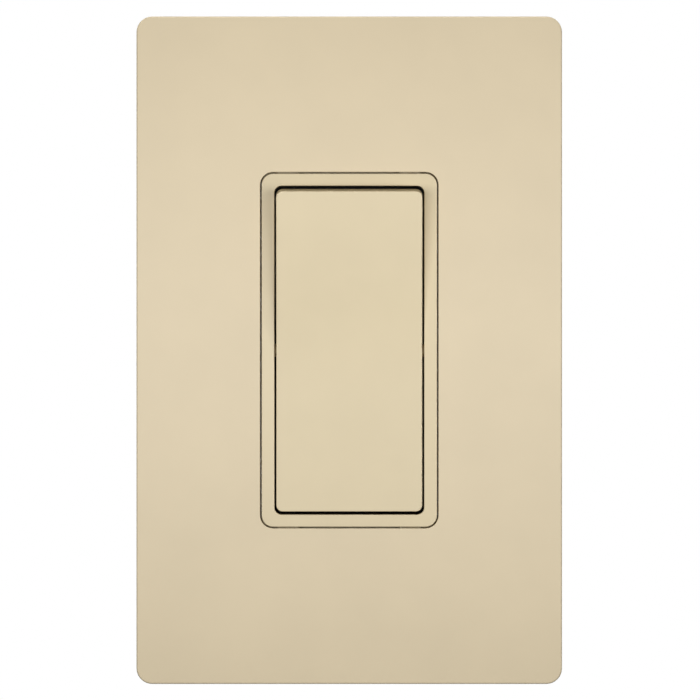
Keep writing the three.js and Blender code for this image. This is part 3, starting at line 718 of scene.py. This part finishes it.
def plunger():
    """The pin that slides in the rocker's boss: a guided barrel, a shoulder, a neck and a round nose."""
    outline = [(0, 8), (1.7, 8), (2.1, 8.4), (2.1, 12.3), (2.0, 12.6), (1.5, 13.2), (1.45, 16.8), (1.3, 17.2)]
    radius, centre = 1.1, 16.9  # of the nose, in millimetres like the outline
    nose = [(radius * math.cos(a), centre + radius * math.sin(a)) for a in (0.5, 0.8, 1.1, 1.35, math.pi / 2)]
    mesh = turned([(out * MM, along * MM) for out, along in outline + nose])
    mesh.transform(ROCKER_PLACE)
    return finished(thing("plunger_pin", mesh), "plunger", "detent_plunger")


def detent_spring():
    """A compression spring with closed ends, as a wire swept along a helix of varying pitch."""
    wire, coil, turns, sides, per_turn = 0.28 * MM, 1.75 * MM, 7, 8, 28
    start, end = BOSS_SEAT + 0.4 * MM, 7.7 * MM
    closed = 1.1 / turns  # the share of the turns that lies flat at each end
    rings = []
    steps = turns * per_turn
    for step in range(steps + 1):
        share = step / steps
        pitch_share = min(1.0, max(0.0, (share - closed) / (1 - 2 * closed)))
        near = wire + 2 * wire * min(share / closed, 1.0)
        far = 2 * wire * (1 - min((1 - share) / closed, 1.0))
        climb = start + near + pitch_share * (end - start - 6 * wire) + far
        angle = share * turns * 2 * math.pi
        outward = Vector((math.cos(angle), 0, math.sin(angle)))
        centre = outward * coil + Vector((0, climb, 0))
        ring = []
        for side in range(sides):
            around = side / sides * 2 * math.pi
            ring.append(centre + outward * wire * math.cos(around) + Vector((0, wire * math.sin(around), 0)))
        rings.append(ring)
    mesh = skin(rings)
    mesh.transform(ROCKER_PLACE)
    made = finished(thing("detent_coil", mesh), "detent_spring", "rocker")
    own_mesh(made)
    return made


# ---- Strap ----


def strap():
    low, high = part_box("strap")
    half_x, half_z, thickness = 17 * MM, high.z, -low.y
    ear_low, ear_high, neck, notch = 45 * MM, 52.4 * MM, 0.9 * MM, 2 * MM
    small = 0.3 * MM
    quarter = [
        (half_x, ear_low + notch, 0),
        (half_x + neck, ear_low + notch, small),
        (half_x + neck, ear_low, small),
        (high.x, ear_low, 1.3 * MM),
        (high.x, ear_high, 1.3 * MM),
        (half_x + neck, ear_high, small),
        (half_x + neck, ear_high - notch, small),
        (half_x, ear_high - notch, 0),
        (half_x, half_z, 3 * MM),
    ]
    outline = quarter
    outline = outline + [(-x, z, r) for x, z, r in reversed(quarter)]
    outline = outline + [(x, -z, r) for x, z, r in reversed(outline)]
    outlines = [rounded_polygon(outline), *strap_holes()]
    made = thing("mounting_strap", sheet(outlines, thickness, 0.14 * MM, -thickness))
    boolean(made, ground_tab(high.y), "UNION")
    return finished(made, "strap", "device", sharp=20)


def strap_holes():
    """The window over the contact chamber, slots for the box screws, and round holes for the other screws."""
    slot_x, slot_z, slot_round = 3.3 * MM, 2 * MM, 1.95 * MM
    holes = [rounded_rectangle(14.4 * MM, 31.2 * MM, 1.5 * MM)]
    for end in BOTH:
        holes.append(rounded_slot(0, end * BOX_SCREW_Z, slot_x, slot_z, slot_round, 8))
        holes.append(circle(2 * MM, 0, end * PLATE_SCREW_Z))
    for side, end in CORNERS:
        holes.append(circle(1.25 * MM, side * CLAMP_X, end * CLAMP_Z, 20))
    return holes


def ground_tab(back):
    """The flange bent off the strap's lower left side, with the ground screw's hole in it."""
    left, right, front = -16.9 * MM, -15.7 * MM, -0.6 * MM
    low, high, corner = GROUND_Z - 3.2 * MM, GROUND_Z + 3.2 * MM, 1.2 * MM
    profile = rounded_polygon([(front, low, 0), (front, high, 0), (back, high, corner), (back, low, corner)])
    flange = thing("ground_tab", skin([[(x, y, z) for y, z in profile] for x in (left, right)]))
    boolean(flange, rod(2 * MM, left - 3 * MM, right + 3 * MM, "x", (0, GROUND_Y, GROUND_Z)), "DIFFERENCE")
    return taken(flange)


# ---- Screws ----


def threaded_rod(radius, start, end, sides=20):
    """A shank along +Z with a real helical thread, whose last turn fades into a blunt tip."""
    count = max(8, int((end - start) / THREAD_PITCH * THREAD_ROWS))
    rings = []
    for row in range(count + 1):
        along = start + (end - start) * row / count
        fade = min(1.0, (end - along) / (1.5 * THREAD_PITCH), (along - start) / (0.6 * THREAD_PITCH))
        ring = []
        for side in range(sides):
            angle = side / sides * 2 * math.pi
            phase = (along / THREAD_PITCH - side / sides) % 1
            valley = abs(2 * phase - 1)
            reach = radius - THREAD_DEPTH * (1 - max(0.0, fade) * (1 - valley))
            ring.append((reach * math.cos(angle), reach * math.sin(angle), along))
        rings.append(ring)
    return skin(rings)


def head_outline(radius, height, dome):
    """(radius, along) rows of a screw head from its crown to its seat, with the crown at -height."""
    rows = [(0, -height)]
    for step in range(1, 7):
        angle = math.pi / 2 * step / 6
        rows.append((radius * math.sin(angle), -height + dome * (1 - math.cos(angle))))
    rows.append((radius, -0.15 * MM))
    rows.append((radius - 0.15 * MM, 0))
    rows.append((0.5 * MM, 0))
    return rows


def screw(name, node, turn, seat, length, head, height, dome,
          shank=THREAD_RADIUS, combination=False, hexagon=False):
    """A machine screw made along +Z, then turned to its axis with the underside of its head at the seat."""
    made = thing(name, turned_z(head_outline(head, height, dome), 48))
    if hexagon:
        across = [[(x, y, z) for x, y in circle(head, sides=6)] for z in (-height, 0)]
        boolean(made, skin(across), "INTERSECT")
    slot = 0.45 * MM
    depth = height - 0.7 * MM if height > 1.3 * MM else height * 0.55
    cuts = [block((-slot, -2 * head, -height - CUT), (slot, 2 * head, -height + depth))]
    if combination:
        arm = head * 0.55
        cuts.append(block((-arm, -slot, -height - CUT), (arm, slot, -height + depth * 1.15)))
        cone = [(head * 0.42, -height - 0.2 * MM), (slot, -height + depth * 1.2)]
        cuts.append(turned_z(cone, 16))
    for cutter in cuts:
        boolean(made, cutter, "DIFFERENCE")
    boolean(made, threaded_rod(shank, -0.3 * MM, length), "UNION")
    made.data.transform(Matrix.Translation(seat) @ turn)
    return finished(made, node, "device", sharp=50)


INTO_WALL = Matrix.Rotation(-math.pi / 2, 4, "X")  # +Z to +Y
INTO_ROOM = Matrix.Rotation(math.pi / 2, 4, "X")  # +Z to -Y
TO_LEFT = Matrix.Rotation(-math.pi / 2, 4, "Y")  # +Z to -X
TO_RIGHT = Matrix.Rotation(math.pi / 2, 4, "Y")  # +Z to +X

# Screw heads: radius, height, the part of it that is domed, and the drive where it isn't a plain slot.
BOX_HEAD = {"head": 3.3 * MM, "height": 2 * MM, "dome": 1.1 * MM, "combination": True}
PLATE_HEAD = {"head": 3.1 * MM, "height": 1.1 * MM, "dome": 0.55 * MM}
TERMINAL_HEAD = {"head": 3.8 * MM, "height": 2.2 * MM, "dome": 0.7 * MM, "combination": True}
GROUND_HEAD = {"head": 3.4 * MM, "height": 2.4 * MM, "dome": 0.5 * MM, "hexagon": True}
CLAMP_HEAD = {"head": 1.9 * MM, "height": 1.4 * MM, "dome": 0.5 * MM, "shank": 0.95 * MM, "combination": True}


def spun(turn, angle):
    """A screw's turn to its axis, with its slot turned by an angle."""
    return turn @ Matrix.Rotation(angle, 4, "Z")


def screws():
    for word, end in (("upper", 1), ("lower", -1)):
        node, seat = f"mounting_screw_{word}", -1.35 * MM
        place, length = (0, seat, end * BOX_SCREW_Z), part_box(node)[1].y - seat
        turn = spun(INTO_WALL, math.radians(20 + 35 * end))
        screw(f"box_screw_{word}", node, turn, place, length, **BOX_HEAD)
        node, seat = f"plate_screw_{word}", -3.35 * MM
        place, length = (0, seat, end * PLATE_SCREW_Z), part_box(node)[1].y - seat
        turn = spun(INTO_WALL, math.radians(90))
        screw(f"sub_plate_screw_{word}", node, turn, place, length, **PLATE_HEAD)
    seat, length = 15 * MM, 3.8 * MM
    for word, end in (("common", 1), ("switched", -1)):
        place = (seat, TERMINAL_Y, end * TERMINAL_Z)
        turn = spun(TO_LEFT, math.radians(30 * end))
        screw(f"side_screw_{word}", f"terminal_screw_{word}", turn, place, length, **TERMINAL_HEAD)
    seat = -17.05 * MM
    place, length = (seat, GROUND_Y, GROUND_Z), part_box("ground_screw")[1].x - seat
    screw("green_ground_screw", "ground_screw", TO_RIGHT, place, length, **GROUND_HEAD)
    for word, end in (("upper", 1), ("lower", -1)):
        for hand, side in (("right", 1), ("left", -1)):
            node = f"assembly_screw_{word}_{hand}"
            low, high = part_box(node)
            seat = high.y - CLAMP_HEAD["height"]
            place, length = (side * CLAMP_X, seat, end * CLAMP_Z), seat - low.y
            turn = spun(INTO_ROOM, 0.7 * side * end)
            screw(f"clamp_screw_{word}_{hand}", node, turn, place, length, **CLAMP_HEAD)


def retainers():
    for word, end in (("upper", 1), ("lower", -1)):
        node = f"screw_retainer_{word}"
        low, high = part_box(node)
        z = end * BOX_SCREW_Z
        outlines = [rounded_slot(0, z, high.x, high.x, 1 * MM), circle(1.95 * MM, 0, z)]
        made = thing(f"fibre_square_{word}", sheet(outlines, high.y - low.y, 0.06 * MM, low.y))
        finished(made, node, "device")


# ---- Body ----


def back_body():
    low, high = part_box("back_body")
    half_x, half_z = high.x, 31 * MM
    inner_x, inner_z = half_x - BODY_WALL, half_z - BODY_WALL
    inside, corner = high.y - BODY_WALL, 0.4 * MM
    profile = [
        (inner_x, inner_z, corner, inside),
        (inner_x, inner_z, corner, low.y + REBATE.y),
        (half_x - REBATE.x, half_z - REBATE.z, corner, low.y + REBATE.y),
        (half_x - REBATE.x, half_z - REBATE.z, corner, low.y),
        (half_x - SMALL_EDGE, half_z - SMALL_EDGE, BODY_CORNER, low.y),
        (half_x, half_z, BODY_CORNER, low.y + SMALL_EDGE),
    ]
    for inset, drop in fillet(BODY_EDGE, 5):
        profile.append((half_x - inset, half_z - inset, BODY_CORNER - inset, high.y - drop))
    made = thing("switch_body", skin(frame_rings(profile)))
    boolean(made, body_ears(inner_x, inner_z), "UNION")
    boolean(made, together(body_blocks(half_x, inside)), "UNION")
    for tool in body_cuts(half_x, inside, high.y):
        boolean(made, tool, "DIFFERENCE")
    boolean(made, together(body_ribs(half_x)), "UNION")
    return finished(made, "back_body", "device", edge=0.12 * MM, sharp=50)


def body_ears(inner_x, inner_z):
    """The two flanges that take the clamp screws, as one slab that is cleared over the hollow."""
    low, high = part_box("back_body")
    half_x, thickness, edge, clearance = 14.2 * MM, 3 * MM, 0.3 * MM, 0.5 * MM
    profile = [(half_x, high.z, BODY_CORNER, low.y + depth) for depth in (0, thickness - edge)]
    profile.append((half_x - edge, high.z - edge, BODY_CORNER, low.y + thickness))
    slab = thing("ears", skin(frame_rings(profile)))
    hollow_x, hollow_z = inner_x + clearance, inner_z + clearance
    boolean(slab, block((-hollow_x, -CUT, -hollow_z), (hollow_x, 9 * MM, hollow_z)), "DIFFERENCE")
    return taken(slab)


def body_blocks(half_x, inside):
    """The material round each side pocket, and a raised block behind the switched terminal."""
    half_z, front, back = 7.1 * MM, 2.3 * MM, 17.6 * MM
    blocks = []
    for end in BOTH:
        z = end * TERMINAL_Z
        blocks.append(block((9.4 * MM, front, z - half_z), (half_x - 0.9 * MM, back, z + half_z)))
    blocks.append(block((-3.4 * MM, 21 * MM, -19.5 * MM), (3.4 * MM, inside + 0.5 * MM, -9.4 * MM)))
    return blocks


def body_cuts(half_x, inside, back):
    """Everything that is cut out of the body, in order, with a shallow panel in its back as the last."""
    cuts = []
    for end in BOTH:
        cuts += terminal_cuts(half_x, end) + wire_cuts(inside, back, end)
    for side, end in CORNERS:
        cuts.append(rod(1.25 * MM, -CUT, 5 * MM, centre=(side * CLAMP_X, 0, end * CLAMP_Z)))
    cuts.append(block((-9 * MM, back - 0.45 * MM, -14 * MM), (9 * MM, back + CUT, 14 * MM)))
    return cuts


def terminal_cuts(half_x, end):
    """The side pocket of a terminal, the passage for its leg, and the bore for the tip of its screw."""
    z = end * TERMINAL_Z
    wall, pocket, passage = 12.9 * MM, 5.5 * MM, 4.8 * MM
    return [
        block((wall, 4 * MM, z - pocket), (half_x + CUT, 16 * MM, z + pocket)),
        block((wall, 15.5 * MM, z - passage), (14.7 * MM, 18.6 * MM, z + passage)),
        rod(2 * MM, 10.6 * MM, 13.2 * MM, "x", (0, TERMINAL_Y, z)),
    ]


def wire_cuts(inside, back, end):
    """A wire hole, the slot that releases the clip in it, and a groove across the back."""
    slot_z, slot = end * 22.6 * MM, 0.9 * MM
    line_z, line, depth = end * 21 * MM, 0.4 * MM, 0.5 * MM
    return [
        funnel(11.2 * MM, end * 26.6 * MM, inside, back),
        block((10 * MM, inside - CUT, slot_z - slot), (12.6 * MM, back + CUT, slot_z + slot)),
        block((-9 * MM, back - depth, line_z - line), (5 * MM, back + CUT, line_z + line)),
    ]


def funnel(x, z, inner, outer):
    """A wire hole through the back wall, widened at its mouth."""
    rows = [(1.2 * MM, inner - CUT), (1.2 * MM, outer - 0.7 * MM), (1.9 * MM, outer), (1.9 * MM, outer + CUT)]
    return turned(rows, "y", (x, 0, z), 28)


def body_ribs(half_x):
    """Two low ribs across the left half of the back wall, on its inner side."""
    low, high, half = 23.4 * MM, 24.2 * MM, 0.5 * MM
    ribs = []
    for end in BOTH:
        z = end * 5 * MM
        ribs.append(block((-half_x + 0.6 * MM, low, z - half), (-9 * MM, high, z + half)))
    return ribs


# ---- CAD pieces that stay ----

KEPT = ("chamber_cover", "common_terminal", "switched_terminal", "contact_arm", "moving_contact",
        "fixed_contact", "push_in_clip_common", "push_in_clip_switched")


def kept_pieces():
    for node in KEPT:
        made = frame["nodes"][node]
        made.data.materials.clear()
        made.data.materials.append(MATERIALS[SLOT_OF[node]])
        bevel = made.modifiers.new("edges", "BEVEL")
        bevel.width = 0.08 * MM
        bevel.segments = 2
        bevel.limit_method = "ANGLE"
        bevel.angle_limit = math.radians(50)


# ---- Stage ----

FRAME_WIDTH = 131.9 * MM  # the width of the picture at the front plane
CAMERA_DISTANCE = 1.2
CAMERA_X, CAMERA_Z = 0.14 * MM, 0.04 * MM  # the device isn't quite in the middle of the picture
SENSOR = 36.0
FLOOR_TOP = -0.12


def camera():
    data = bpy.data.cameras.new("camera")
    data.sensor_width = SENSOR
    data.lens = SENSOR * CAMERA_DISTANCE / FRAME_WIDTH
    made = bpy.data.objects.new("camera", data)
    made.location = (CAMERA_X, FACE - CAMERA_DISTANCE, CAMERA_Z)
    made.rotation_euler = (math.pi / 2, 0, 0)
    bpy.context.scene.collection.objects.link(made)
    bpy.context.scene.camera = made


def lamp(name, place, width, height, power, aim=(0, FACE, 0)):
    data = bpy.data.lights.new(name, "AREA")
    data.shape = "RECTANGLE"
    data.size, data.size_y = width, height
    data.energy = power
    made = bpy.data.objects.new(name, data)
    made.location = place
    made.rotation_euler = (Vector(aim) - Vector(place)).to_track_quat("-Z", "Y").to_euler()
    made.visible_camera = False
    bpy.context.scene.collection.objects.link(made)
    return made


def from_front(angle, distance, height):
    """A place in front of the device, turned by so many degrees to the right of straight ahead."""
    turn = math.radians(angle)
    return (distance * math.sin(turn), FACE - distance * math.cos(turn), height)


def flag(lamps, state, group, *pieces):
    """Light linking: lets lamps shine on nothing but these pieces, or on everything else."""
    for light in lamps:
        linked = bpy.data.collections.new(f"{light.name}_{group}")
        for one in pieces:
            linked.objects.link(one)
        for item in linked.collection_objects:
            item.light_linking.link_state = state
        setattr(light.light_linking, f"{group}_collection", linked)


def lights(plate, surround, rocker, table):
    """Each part of the front has its own softboxes, so that the rocker shades the bezel and not the plate."""
    plate_lamps = [
        lamp("plate_left", from_front(-18, 0.25, 0.005), 0.12, 0.06, 0.29),
        lamp("plate_right", from_front(18, 0.25, 0.005), 0.12, 0.06, 0.29),
        lamp("plate_top", (0, -0.09, 0.42), 0.4, 0.04, 1.15),
    ]
    bezel_lamps = [
        lamp("bezel_left", from_front(-24, 0.16, 0.003), 0.12, 0.075, 0.167),
        lamp("bezel_right", from_front(42, 0.16, 0.003), 0.134, 0.075, 0.145),
        lamp("bezel_edge", (0.4, -0.13, 0.03), 0.05, 0.3, 0.55),
    ]
    rocker_lamps = [
        lamp("rocker_left", from_front(-22, 0.26, 0.02), 0.04, 0.08, 0.355),
        lamp("rocker_right", from_front(22, 0.26, 0.02), 0.04, 0.08, 0.355),
        lamp("rocker_edge", (0.4, -0.13, 0.15), 0.05, 0.3, 0.12),
    ]
    inner_lamps = [
        lamp("inside_left", from_front(-35, 0.5, 0.15), 0.3, 0.3, 0.9),
        lamp("inside_right", from_front(35, 0.5, 0.15), 0.3, 0.3, 0.9),
    ]
    table_lamps = [lamp("table_light", (0, 0, 1.3), 1.0, 1.0, 17)]
    lamp("back_left", (-0.45, 0.55, 0.3), 0.8, 0.8, 3.2)
    lamp("back_right", (0.45, 0.55, 0.2), 0.8, 0.8, 3.2)
    flag(plate_lamps, "INCLUDE", "receiver", plate)
    flag(plate_lamps, "EXCLUDE", "blocker", rocker)
    flag(bezel_lamps, "INCLUDE", "receiver", surround)
    flag(rocker_lamps, "INCLUDE", "receiver", rocker)
    flag(inner_lamps, "EXCLUDE", "receiver", plate, surround, rocker)
    flag(table_lamps, "INCLUDE", "receiver", table)


def surroundings():
    """White for the camera, and a soft even light for everything else."""
    world = bpy.data.worlds.new("studio")
    bpy.context.scene.world = world
    world.use_nodes = True
    tree = world.node_tree
    soft = tree.nodes["Background"]
    soft.inputs["Color"].default_value = (1, 1, 1, 1)
    soft.inputs["Strength"].default_value = 0.015
    white = tree.nodes.new("ShaderNodeBackground")
    white.inputs["Color"].default_value = (1, 1, 1, 1)
    rays = tree.nodes.new("ShaderNodeLightPath")
    mix = tree.nodes.new("ShaderNodeMixShader")
    tree.links.new(rays.outputs["Is Camera Ray"], mix.inputs["Fac"])
    tree.links.new(soft.outputs["Background"], mix.inputs[1])
    tree.links.new(white.outputs["Background"], mix.inputs[2])
    tree.links.new(mix.outputs["Shader"], tree.nodes["World Output"].inputs["Surface"])
    bpy.context.scene.view_settings.view_transform = "Standard"


def floor():
    """A pale round table top below the frame of the picture."""
    rows = [(0, 0), (0.4, 0), (0.404, -0.001), (0.405, -0.004), (0.405, -0.012), (0, -0.012)]
    made = thing("floor", turned_z([(radius, along) for radius, along in reversed(rows)], 96))
    made.location = (0, 0, FLOOR_TOP)
    made.data.materials.append(pale_floor("floor"))
    made.visible_diffuse = False  # its glow would light the front from below
    shade(made)
    return made


camera()
surroundings()
lights(wall_plate(), bezel(), paddle(), floor())
sub_plate()
plunger()
detent_spring()
strap()
screws()
retainers()
back_body()
kept_pieces()
